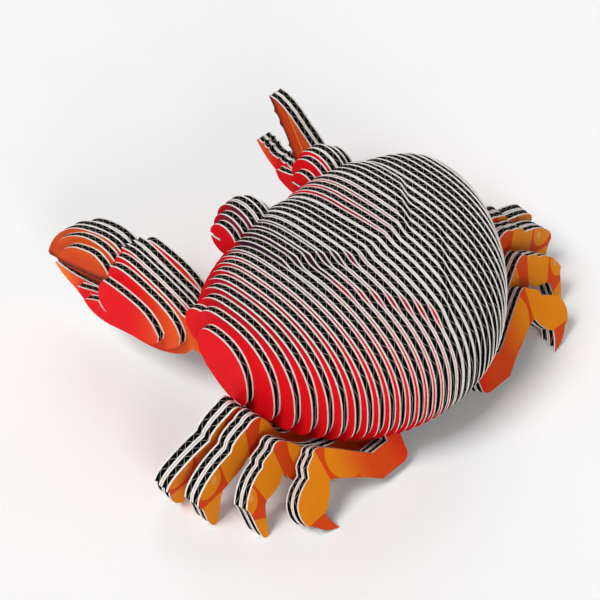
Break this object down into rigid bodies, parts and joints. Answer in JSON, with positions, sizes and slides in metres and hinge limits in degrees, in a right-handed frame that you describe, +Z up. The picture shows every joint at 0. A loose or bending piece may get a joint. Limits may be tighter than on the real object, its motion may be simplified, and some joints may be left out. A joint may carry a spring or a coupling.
{
  "type": "crab figurine",
  "caption": "Crab figurine laminated from cut corrugated cardboard sheets: rounded shell, raised eyes, a closed claw, an open pincer and arched legs. Stands free as an ornament.",
  "frame": {"origin": "on the floor, on the middle line, under the crown of the shell", "axes": "+X to the crab's left across the legs, +Y to its back, +Z up; the crab faces -Y"},
  "size_m": [0.116, 0.0974, 0.0438],
  "materials": {
    "body_board": "satin",
    "claw_board": "satin",
    "leg_board": "satin"
  },
  "bodies": {
    "root": {"body_sheet_01": "body_board", "body_sheet_02": "body_board", "body_sheet_03": "body_board", "body_sheet_04": "body_board", "body_sheet_05": "body_board", "body_sheet_06": "body_board", "body_sheet_07": "body_board", "body_sheet_08": "body_board", "body_sheet_09": "body_board", "body_sheet_10": "body_board", "body_sheet_11": "body_board", "body_sheet_12": "body_board", "body_sheet_13": "body_board", "body_sheet_14": "body_board", "body_sheet_15": "body_board", "body_sheet_16": "body_board", "body_sheet_17": "body_board", "body_sheet_18": "body_board", "body_sheet_19": "body_board", "body_sheet_20": "body_board", "body_sheet_21": "body_board", "body_sheet_22": "body_board", "body_sheet_23": "body_board", "body_sheet_24": "body_board", "body_sheet_25": "body_board", "body_sheet_26": "body_board", "body_sheet_27": "body_board", "body_sheet_28": "body_board", "body_sheet_29": "body_board", "body_sheet_30": "body_board", "body_sheet_31": "body_board", "body_sheet_32": "body_board", "body_sheet_33": "body_board", "body_sheet_34": "body_board", "body_sheet_35": "body_board", "body_sheet_36": "body_board", "left_claw_sheet_1": "claw_board", "left_claw_sheet_2": "claw_board", "left_claw_sheet_3": "claw_board", "left_claw_sheet_4": "claw_board", "left_claw_sheet_5": "claw_board", "left_claw_sheet_6": "claw_board", "left_claw_sheet_7": "claw_board", "right_claw_sheet_1": "claw_board", "right_claw_sheet_2": "claw_board", "right_claw_sheet_3": "claw_board", "right_claw_sheet_4": "claw_board", "left_leg_1": "leg_board", "left_leg_2": "leg_board", "left_leg_3": "leg_board", "left_leg_4": "leg_board", "right_leg_1": "leg_board", "right_leg_2": "leg_board", "right_leg_3": "leg_board", "right_leg_4": "leg_board"}
  },
  "joints": []
}
